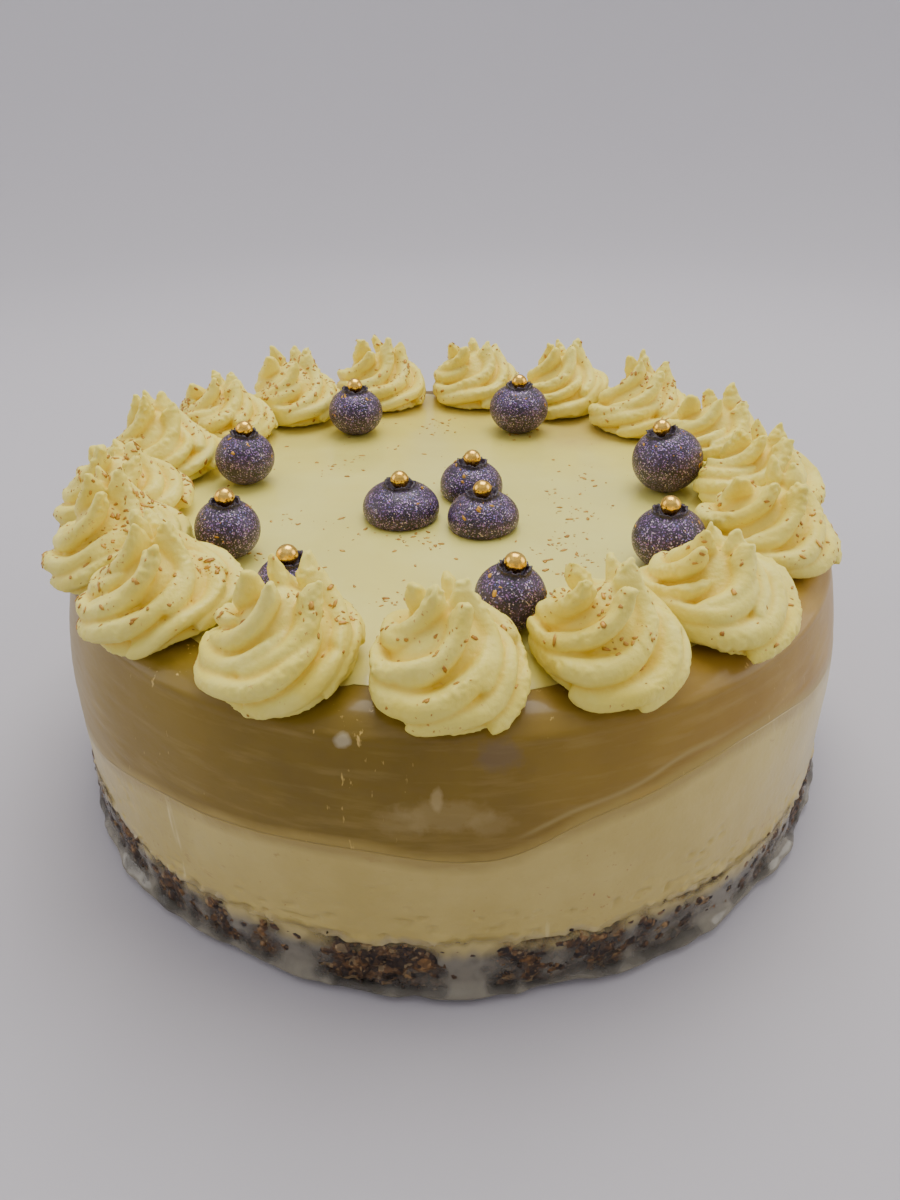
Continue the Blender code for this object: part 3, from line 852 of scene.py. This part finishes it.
def low_tier(dice, start):
    """Fins that start in a blunt toe at the foot, wind round the dome and tuck in under."""
    share = along(LOW_FINS)
    first = start + np.arange(LOW_FINS) * math.tau / LOW_FINS + dice.normal(0, 0.10, LOW_FINS)
    sweep = LOW_SWEEP * dice.uniform(0.88, 1.12, (LOW_FINS, 1))
    turn = first[:, None] + sweep * share
    reach = (16.7 + dice.normal(0, 0.4, (LOW_FINS, 1)) + 0.6 * np.sin(share * 3.4)
             - 9.2 * share ** 3.0) * MM
    climb = (2.6 + dice.normal(0, 0.3, (LOW_FINS, 1)) + 9.8 * share ** 1.15) * MM
    wobble = 0.3 * MM * np.sin(share * dice.uniform(9, 16, (LOW_FINS, 1)) + first[:, None])
    path = np.stack([reach * np.cos(turn), reach * np.sin(turn), climb + wobble], axis=-1)
    round_off = blunt(share, 0.07, 0.18)
    thickness = (4.3 - 0.8 * share) * MM * round_off * dice.uniform(0.88, 1.1, (LOW_FINS, 1))
    depth = (8.2 - 1.5 * share) * MM * round_off ** 0.5
    return swept_fins(path, share * math.radians(48), thickness, depth)


def high_tier(dice, start, peak):
    """Fins that start on the shoulder, wind in, then turn up into ragged torn points."""
    share = along(HIGH_FINS)
    first = start + np.arange(HIGH_FINS) * math.tau / HIGH_FINS + dice.normal(0, 0.14, HIGH_FINS)
    sweep = HIGH_SWEEP * dice.uniform(0.85, 1.15, (HIGH_FINS, 1))
    turn = first[:, None] + sweep * (1 - (1 - share) ** 1.7)
    open_out = dice.uniform(3.8, 9.2, (HIGH_FINS, 1))
    reach = (open_out + (14.0 - open_out) * (1 - share) ** 1.35) * MM
    tip = peak + (dice.uniform(-1.2, 1.0, (HIGH_FINS, 1)) - 0.45 * (open_out - 3.8)) * MM
    climb = 8.6 * MM + (tip - 8.6 * MM) * share ** 1.25
    path = np.stack([reach * np.cos(turn), reach * np.sin(turn), climb], axis=-1)
    torn = 1 - dice.uniform(0.35, 0.7, (HIGH_FINS, 1)) * ease(0.80, 1.0, share)
    thickness = (4.2 - 0.9 * share) * MM * blunt(share, 0.10, 0.03) * torn
    depth = (7.2 - 2.2 * share) * MM * blunt(share, 0.10, 0.03) ** 0.5 * torn
    return swept_fins(path, (1 - share) * math.radians(40), thickness, depth)


def core_dome(peak):
    """The solid middle that the fins stand on: a full dome, its reach falling with height."""
    share = np.linspace(0, 0.985, 24)[:, None]
    reach = 12.6 * MM * (1 - share ** 2.0) ** 0.8 + 1.4 * MM * np.exp(-(share / 0.16) ** 2)
    return on_side(around(48), 0.3 * MM + share * 0.74 * peak, np.maximum(reach, 0.3 * MM))


def joined(skins):
    """Several (points, faces) pairs as one."""
    points, faces, count = [], [], 0
    for skin_points, skin_faces in skins:
        points.append(skin_points)
        faces += [[corner + count for corner in face] for face in skin_faces]
        count += len(skin_points)
    return np.concatenate(points), faces


def press_sideways(points, centre, before, after):
    """Flattens a rosette towards its slice of the ring: y / (1 + |y / limit|^6)^(1/6)."""
    outward = centre - RING_CENTRE
    ring_reach = math.hypot(outward[0], outward[1])
    out = outward / ring_reach * np.array([1, 1, 0])
    side = np.array([-out[1], out[0], 0])
    along_out, sideways = points @ out, points @ side
    half = np.where(sideways > 0, after, before)
    limit = (ring_reach + along_out) * np.tan(half) - 0.25 * MM
    pressed = sideways / (1 + np.abs(sideways / limit) ** 6) ** (1 / 6)
    return points + (pressed - sideways)[:, None] * side


def press_by_berries(points, berries):
    """Pushes the cream out level from each berry nestled in it, to a clear gap."""
    for low, high in berries:
        middle, reach = (low + high) / 2, (high - low)[:2].max() / 2 + BERRY_CLEARANCE
        away = points - middle
        flat = np.hypot(away[:, 0], away[:, 1])
        need = np.sqrt(np.maximum(0, reach ** 2 - (0.6 * away[:, 2]) ** 2))
        push = np.maximum(0, need - flat) / np.maximum(flat, 1e-6)
        points = points + away * push[:, None] * np.array([1, 1, 0])
    return points


def droop_over_rim(points):
    """Lets the toes that pass the rim sag with it, less the higher they are."""
    beyond = ease(87 * MM, 97 * MM, np.hypot(points[:, 0], points[:, 1]))
    points[:, 2] -= RIM_DROOP * beyond * ease(16 * MM, 2 * MM, points[:, 2] - SEAT)
    return points


def merged_skin(points, faces):
    """One even closed skin round all the overlapping parts, by Blender's voxel remesh."""
    mesh = bpy.data.meshes.new("cream_parts")
    mesh.from_pydata(points.tolist(), [], faces)
    rough = bpy.data.objects.new("cream_parts", mesh)
    bpy.context.scene.collection.objects.link(rough)
    remesh = rough.modifiers.new("skin", "REMESH")
    remesh.mode, remesh.voxel_size = "VOXEL", CREAM_GRAIN
    even = bpy.data.meshes.new_from_object(rough.evaluated_get(
        bpy.context.evaluated_depsgraph_get()))
    bpy.data.objects.remove(rough)
    bpy.data.meshes.remove(mesh)
    return even


def read_points(mesh, what="vertices", kind="co"):
    """A mesh's places or directions as an (n, 3) array."""
    values = np.zeros(len(mesh.vertices) * 3)
    getattr(mesh, what).foreach_get(kind, values)
    return values.reshape(-1, 3)


def neighbour_mean(values, edges, counts):
    """Each point's mean of the points it shares an edge with."""
    total = np.zeros_like(values)
    for axis in range(values.shape[1]):
        total[:, axis] = (np.bincount(edges[:, 0], values[edges[:, 1], axis], len(values))
                          + np.bincount(edges[:, 1], values[edges[:, 0], axis], len(values)))
    return total / counts[:, None]


def dress_cream(mesh, seed):
    """Smooths the skin, tears its crests, and measures how deep each point lies in a fold."""
    edges = np.zeros(len(mesh.edges) * 2, dtype=np.int32)
    mesh.edges.foreach_get("vertices", edges)
    edges = edges.reshape(-1, 2)
    points = read_points(mesh)
    counts = np.bincount(edges.ravel(), minlength=len(points)).astype(float)
    for _ in range(3):
        points += 0.6 * (neighbour_mean(points, edges, counts) - points)
    mesh.vertices.foreach_set("co", points.ravel())
    normals = read_points(mesh, "vertex_normals", "vector")
    spread = points.copy()
    for _ in range(26):
        spread = neighbour_mean(spread, edges, counts)
    fold = ((spread - points) * normals).sum(axis=1) / MM
    crest = ease(0.0, -0.55, fold)
    patches = ease(-0.25, 0.35, soft_noise(points, 6 * MM, seed))
    teeth = soft_noise(points, 0.95 * MM, seed + 1)
    ripple = 0.10 * soft_noise(points, 2.4 * MM, seed + 2)
    tips = 0.25 * ease(TOP + 13 * MM, TOP + 19 * MM, points[:, 2])
    grain = 0.06 * soft_noise(points, 0.6 * MM, 9)
    offset = ((0.42 * patches + tips) * teeth * crest + ripple + grain) * MM
    points += normals * offset[:, None]
    points[:, 2] = np.maximum(points[:, 2], np.where(
        np.hypot(points[:, 0], points[:, 1]) < FLAT_END, SEAT - 0.25 * MM, -1.0))
    mesh.vertices.foreach_set("co", points.ravel())
    return np.clip(0.5 + 0.5 * fold, 0, 1)


def cream_finish():
    """Whipped cream: ivory on the crests, painted golden shade in the folds, bronze dust, and
    fine pits.
    """
    material, tree, surface, place = new_finish(
        "whipped_cream", Roughness=0.48, Specular_IOR_Level=0.35, Subsurface_Weight=0.22,
        Subsurface_Scale=1.6 * MM)
    surface.inputs["Subsurface Radius"].default_value = (1.0, 0.85, 0.3)
    fold = measured(tree, "fold")
    crest = add_group(tree, mottle, {"Place": place, "Scale": 90.0,
                                     "Light": (0.92, 0.81, 0.19, 1),
                                     "Dark": (0.87, 0.72, 0.11, 1)})
    # Painted shade and scattered light: the folds are tinted a deeper, darker gold, standing in
    # for the light that scatters and dims deep in the cream's folds.
    depth = put(tree, "MapRange", {0: fold, 1: 0.47, 2: 0.85})
    colour = tint_over(tree, depth.outputs[0], crest, (0.84, 0.55, 0.010, 1))
    dust = add_group(tree, specks, {"Place": place, "Scale": 700.0, "Amount": 0.005,
                                    "Patches": 110.0})
    colour = tint_over(tree, dust, colour, (0.62, 0.33, 0.06, 1))
    tree.links.new(colour, surface.inputs["Base Color"])
    pits = put(tree, "TexNoise", {"Vector": place, "Scale": 1300.0, "Detail": 3.0})
    roughen(tree, surface, pits.outputs["Fac"], 0.55, 0.25 * MM)
    return material


def node_box(node):
    """A CAD node's lowest and highest corners as arrays."""
    low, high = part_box(node)
    return np.array(low), np.array(high)


def pipe_rosette(centre, before, after, peak, start, seed, berries):
    """Pipes one rosette on its place in the ring and settles it among its neighbours."""
    dice = np.random.default_rng(seed)
    fins = [*low_tier(dice, start), *high_tier(dice, start + dice.uniform(0, 1.2), peak)]
    points, faces = joined([turned_skin(core_dome(peak)), *map(turned_skin, fins)])
    points[:, 2] = np.maximum(points[:, 2], 0.1 * MM)
    points = press_sideways(points, centre, before, after)
    points += np.array([centre[0], centre[1], SEAT])
    points = droop_over_rim(press_by_berries(points, berries))
    even = merged_skin(points, faces)
    return even, dress_cream(even, seed)


cream = cream_finish()
rosette_boxes = [node_box(f"rosette_{number:02d}") for number in range(1, ROSETTES + 1)]
berry_boxes = [node_box(node) for node in RIM_BERRY_NODES]
centres = np.array([(low + high) / 2 for low, high in rosette_boxes])
bearings = np.arctan2(centres[:, 1] - RING_CENTRE[1], centres[:, 0] - RING_CENTRE[0])
centres = RING_CENTRE + ROSETTE_REACH * np.stack(
    [np.cos(bearings), np.sin(bearings), 0 * bearings], axis=1)
gaps_after = (np.roll(bearings, -1) - bearings) % math.tau / 2
gaps_before = np.roll(gaps_after, 1)
rosette_skins = []
for index in range(ROSETTES):
    low, high = rosette_boxes[index]
    near = [box for box in berry_boxes
            if np.linalg.norm(((box[0] + box[1]) / 2 - centres[index])[:2]) < BERRY_NEARBY]
    skin, fold = pipe_rosette(centres[index], gaps_before[index], gaps_after[index],
                              high[2] - SEAT, 1.9 * index, 300 + 10 * index, near)
    skin.shade_smooth()
    skin.materials.clear()
    skin.materials.append(cream)
    rosette = bpy.data.objects.new(f"cream_rosette_{index + 1:02d}", skin)
    bpy.context.scene.collection.objects.link(rosette)
    add_measure(rosette, "fold", fold)
    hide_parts(f"rosette_{index + 1:02d}")
    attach(rosette, "root")
    rosette_skins.append(skin)

# --- Berries -----------------------------------------------------------------------------
# Blueberries brushed with purple glitter dust, eight whole ones tucked against the rosettes
# and three cut low in the middle. Each keeps its ragged crown, which holds a sugar pearl.

BERRY_TURNS = 72
BODY_RINGS = 30
WHOLE_FOOT, HALF_FOOT = math.radians(-64), math.radians(-18)
SHOULDER = math.radians(60)
CROWN_TALL, CROWN_WALL, CROWN_REACH = 1.7 * MM, 0.5 * MM, 3.9 * MM
CUP_RADIUS, CUP_DEPTH = 2.5 * MM, 0.8 * MM
PEARL_GAP = 0.3 * MM
WHOLE_WIDEST, HALF_WIDEST = 0.51, 0.26   # height of the widest level, as a share of the cup's


def berry_rows(width, shoulder, foot, dice):
    """Round body by angle from its cut foot to the shoulder, then the torn crown and its cup.

    The crown's height follows two waves round the berry, sharpened to points; its wall goes
    up outside, over the torn edge, and down inside to the cup that holds the pearl.
    """
    turn = around(BERRY_TURNS)
    rise = np.linspace(foot, SHOULDER, BODY_RINGS)[:, None]
    span = math.sin(SHOULDER) - math.sin(foot)
    height = shoulder * (np.sin(rise) - math.sin(foot)) / span
    lump = 1 + 0.018 * np.sin(2 * turn + dice.uniform(0, 6)) + 0.012 * np.sin(3 * turn + 1)
    body = on_side(turn, height + 0 * turn, width / 2 * np.cos(rise) * lump)
    waves = np.abs(np.sin(2.5 * turn + dice.uniform(0, 6))) ** 0.7
    teeth = 0.22 + 0.38 * waves + 0.42 * dice.random(BERRY_TURNS) ** 2
    teeth = (np.roll(teeth, 1) + 3 * teeth + np.roll(teeth, -1)) / 5
    neck = min(CROWN_REACH, width / 2 * math.cos(SHOULDER) - 0.3 * MM) + 0 * turn
    edge = neck + 0.35 * MM * dice.uniform(-1, 1, BERRY_TURNS)
    low, tall = shoulder + 0.3 * MM + 0 * turn, shoulder + CROWN_TALL * teeth
    rows = [on_side(turn, low, neck), on_side(turn, (low + tall) / 2, (neck + edge) / 2),
            on_side(turn, tall, edge), on_side(turn, tall - 0.1 * MM, edge - CROWN_WALL),
            on_side(turn, (low + tall) / 2 - 0.2 * MM, neck - 1.3 * CROWN_WALL),
            on_side(turn, shoulder - 0.2 * MM + 0 * turn, CUP_RADIUS + 0.1 * MM + 0 * turn),
            on_side(turn, shoulder - CUP_DEPTH * 0.75 + 0 * turn, CUP_RADIUS * 0.7 + 0 * turn),
            on_side(turn, shoulder - CUP_DEPTH + 0 * turn, CUP_RADIUS * 0.25 + 0 * turn)]
    return np.concatenate([body, np.stack(rows)])


def berry_finish():
    """Near-black skin with a dusty bloom, violet, blue and white glitter partly painted as
    sparkle, and gold specks.
    """
    material, tree, surface, place = new_finish("glittered_berry", Roughness=0.42,
                                                Coat_Weight=0.25, Coat_Roughness=0.25)
    skin = add_group(tree, mottle, {"Place": place, "Scale": 210.0,
                                    "Light": (0.042, 0.021, 0.054, 1),
                                    "Dark": (0.011, 0.006, 0.016, 1)})
    bloom = put(tree, "TexNoise", {"Vector": place, "Scale": 380.0, "Detail": 5.0,
                                   "Roughness": 0.75})
    film = put(tree, "MapRange", {0: bloom.outputs["Fac"], 1: 0.48, 2: 0.74, 4: 0.4})
    colour = tint_over(tree, film.outputs[0], skin, (0.110, 0.056, 0.175, 1))
    # The glitter specks are real glitter; their bright white and pale violet tones are painted
    # sparkle, standing in for glints of light off the flakes.
    flakes = put(tree, "TexVoronoi", {"Vector": place, "Scale": 3900.0})
    split = put(tree, "SeparateColor", {0: flakes.outputs["Color"]})
    shade = put(tree, "ValToRGB", {0: split.outputs[1]})
    stops = shade.color_ramp.elements
    stops[0].position, stops[0].color = 0.0, (0.30, 0.14, 0.40, 1)
    stops[1].position, stops[1].color = 1.0, (0.70, 0.60, 0.66, 1)
    for position, tone in ((0.45, (0.38, 0.22, 0.48, 1)), (0.66, (0.14, 0.15, 0.48, 1)),
                           (0.80, (0.58, 0.42, 0.55, 1))):
        stops.new(position).color = tone
    glint = put(tree, "MapRange", {0: split.outputs[0], 1: 0.78, 2: 0.84})
    colour = tint_over(tree, glint.outputs[0], colour, shade.outputs[0])
    gold = add_group(tree, specks, {"Place": place, "Scale": 1300.0, "Amount": -0.03,
                                    "Patches": 150.0})
    colour = tint_over(tree, gold, colour, (0.62, 0.33, 0.07, 1))
    crown = measured(tree, "crown")
    colour = tint_over(tree, crown, colour, (0.020, 0.010, 0.020, 1))
    tree.links.new(colour, surface.inputs["Base Color"])
    metal = put(tree, "Math", {0: glint.outputs[0], 1: 0.6}, operation="MULTIPLY")
    tree.links.new(metal.outputs[0], surface.inputs["Metallic"])
    grit = put(tree, "TexVoronoi", {"Vector": place, "Scale": 2300.0})
    roughen(tree, surface, grit.outputs["Distance"], 0.7, 0.22 * MM)
    return material


glitter = berry_finish()
berry_points, berry_middles = [], []
for number in range(1, 12):
    low, high = node_box(f"berry_{number:02d}")
    pearl_low, pearl_high = node_box(f"pearl_{number:02d}")
    whole = number <= len(RIM_BERRY_NODES)
    pearl_middle, pearl_radius = (pearl_low + pearl_high) / 2, (pearl_high - pearl_low)[1] / 2
    width = (high - low)[1]
    cup_height = pearl_middle[2] - low[2] - pearl_radius - PEARL_GAP + CUP_DEPTH
    dice = np.random.default_rng(700 + number)
    rows = berry_rows(width, cup_height, WHOLE_FOOT if whole else HALF_FOOT, dice)
    widest = WHOLE_WIDEST if whole else HALF_WIDEST
    rise = pearl_middle[2] - low[2] - widest * cup_height
    lean = math.asin(np.clip((pearl_middle[0] - (low + high)[0] / 2) / rise, -0.35, 0.35))
    turned = np.array(Matrix.Rotation(lean, 3, "Y"))
    points, faces = turned_skin(rows)
    points = points @ turned.T
    pearl_height = cup_height - CUP_DEPTH + PEARL_GAP + pearl_radius
    points += pearl_middle - turned @ np.array([0, 0, pearl_height])
    points[:, 2] = np.maximum(points[:, 2], TOP + 0.05 * MM)
    berry = add_piece(f"glitter_berry_{number:02d}", points, faces, glitter)
    crown = np.zeros(len(points))
    crown[BODY_RINGS * BERRY_TURNS:-2] = 0.85
    add_measure(berry, "crown", crown)
    berry_points.append(points[:BODY_RINGS * BERRY_TURNS])
    berry_middles.append(np.repeat(((low + high) / 2)[None], BODY_RINGS * BERRY_TURNS, axis=0))
    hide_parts(f"berry_{number:02d}")
    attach(berry, "root")

# --- Sugar pearls ------------------------------------------------------------------------
# Small hard sugar balls with a polished gold coat, one dropped in each berry's crown. Each
# is a little out of round, with a fine orange-peel skin.


def pearl_rows(middle, radius, dice):
    """A ball whose reach swells by a slow wave over its two angles."""
    ball = ball_grid(28, 48)
    swell = 1 + 0.015 * np.sin(2 * ball[..., 0] + dice.uniform(0, 6)) * np.cos(3 * ball[..., 2])
    return middle + radius * ball * swell[..., None]


def pearl_finish():
    """Polished gold with a soft bright grain and slightly duller patches."""
    material, tree, surface, place = new_finish("gold_pearl_coat", Metallic=1.0, Roughness=0.2)
    colour = add_group(tree, mottle, {"Place": place, "Scale": 600.0,
                                      "Light": (0.95, 0.62, 0.13, 1),
                                      "Dark": (0.80, 0.46, 0.07, 1)})
    tree.links.new(colour, surface.inputs["Base Color"])
    wear = put(tree, "TexNoise", {"Vector": place, "Scale": 900.0, "Detail": 3.0})
    dull = put(tree, "MapRange", {0: wear.outputs["Fac"], 1: 0.35, 2: 0.7, 3: 0.14, 4: 0.34})
    tree.links.new(dull.outputs[0], surface.inputs["Roughness"])
    roughen(tree, surface, wear.outputs["Fac"], 0.12, 0.08 * MM)
    return material


gold_coat = pearl_finish()
for number in range(1, 12):
    low, high = node_box(f"pearl_{number:02d}")
    pearl = add_piece(f"sugar_pearl_{number:02d}", *turned_skin(pearl_rows(
        (low + high) / 2, (high - low)[1] / 2, np.random.default_rng(800 + number))), gold_coat)
    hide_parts(f"pearl_{number:02d}")
    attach(pearl, "root")

# --- Gold dust ---------------------------------------------------------------------------
# Edible bronze-gold flakes sprinkled over everything after the berries went on. They lie in
# loose clusters on the cream and the glaze, thickest on the left-hand rosettes.

CREAM_FLAKES, BERRY_FLAKES, STRAY_FLAKES = 3000, 170, 90
FLAKE_SIZES = (0.15 * MM, 0.72 * MM)
STRAY_REACH = 64 * MM
GLAZE_CLUSTERS = ((26, -1, 4, 10), (33, -11, 5, 24), (28, -25, 5, 26), (33, -34, 4, 18),
                  (21, -32, 3, 8), (25, -40, 4, 9), (37, 11, 6, 16), (-5, -26, 4, 16),
                  (-10, -23, 4, 14), (-24, -19, 4, 8), (-45, -31, 4, 8), (-13, -52, 5, 16),
                  (-40, -13, 5, 12), (-3, 53, 7, 26), (22, 48, 6, 24), (-34, 19, 6, 12),
                  (-26, 29, 5, 10))


def flake_shapes(places, normals, dice):
    """Thin lumpy discs laid flat on the surface: a ball squashed along the surface's normal."""
    count = len(places)
    unit = ball_grid(3, 6) * dice.uniform(0.6, 1.3, (count, 3, 6, 1))
    low, high = FLAKE_SIZES
    sizes = low + (high - low) * dice.random((count, 1)) ** 1.9
    helper = dice.normal(size=(count, 3))
    one = np.cross(normals, helper)
    one /= np.linalg.norm(one, axis=1, keepdims=True)
    two = np.cross(normals, one)
    long, short = sizes * dice.uniform(1.0, 1.7, (count, 1)), sizes * 0.75
    axes = np.stack([one * long, two * short, normals * sizes * 0.28], axis=1)
    return places[:, None, None, :] + np.einsum("crta,cab->crtb", unit, axes)


def dusted_spots(points, normals, wanted, dice, heavier):
    """Picks upward-facing points, more where a broad noise and the chosen side are high."""
    chance = np.clip(normals[:, 2] + 0.35, 0.02, 1) * np.exp(3.2 * soft_noise(points, 7 * MM, 91))
    chance = chance * (1 + heavier * ease(0.02, -0.09, points[:, 0]))
    picked = dice.choice(len(points), wanted, replace=False, p=chance / chance.sum())
    return points[picked] + normals[picked] * 0.03 * MM, normals[picked]


def flake_finish():
    """Bronze-gold mica: warm metallic flakes from brown to bright gold."""
    material, tree, surface, place = new_finish("bronze_dust", Metallic=0.3, Roughness=0.42)
    colour = add_group(tree, mottle, {"Place": place, "Scale": 260.0,
                                      "Light": (0.70, 0.38, 0.05, 1),
                                      "Dark": (0.42, 0.19, 0.025, 1)})
    tree.links.new(colour, surface.inputs["Base Color"])
    return material


dice = np.random.default_rng(17)
cream_points = np.concatenate([read_points(skin) for skin in rosette_skins])
cream_normals = np.concatenate([read_points(skin, "vertex_normals", "vector")
                                for skin in rosette_skins])
bronze = flake_finish()


def lay_dust(name, places, normals):
    """One mesh of flakes lying on the given places."""
    dust = add_piece(name, *scattered(flake_shapes(places, normals, dice)), bronze)
    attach(dust, "root")


lay_dust("gold_dust_on_cream",
         *dusted_spots(cream_points, cream_normals, CREAM_FLAKES, dice, 2.5))


def glaze_spots(dice):
    """Places on the glaze: round clusters by their middle, spread and count, and strays."""
    spots = [dice.normal((x, y), spread * 0.6, (count, 2)) * MM
             for x, y, spread, count in GLAZE_CLUSTERS]
    turn = dice.uniform(0, math.tau, STRAY_FLAKES)
    reach = STRAY_REACH * dice.random(STRAY_FLAKES) ** 0.5
    spots.append(np.stack([reach * np.cos(turn), reach * np.sin(turn)], axis=1))
    level = np.pad(np.concatenate(spots), ((0, 0), (0, 1)))
    return level + np.array([0, 0, 1]) * (TOP + 0.03 * MM + glaze_swell(level))[:, None]


level = glaze_spots(dice)
upward = np.repeat(np.array([[0.0, 0.0, 1.0]]), len(level), axis=0)
lay_dust("gold_dust_on_glaze", level, upward)

skin_points, skin_middles = np.concatenate(berry_points), np.concatenate(berry_middles)
outward = skin_points - skin_middles
outward /= np.linalg.norm(outward, axis=1, keepdims=True)
upper = np.clip(outward[:, 2] + 0.2, 0.01, 1)
picked = dice.choice(len(skin_points), BERRY_FLAKES, replace=False, p=upper / upper.sum())
lay_dust("gold_dust_on_berries", skin_points[picked], outward[picked])
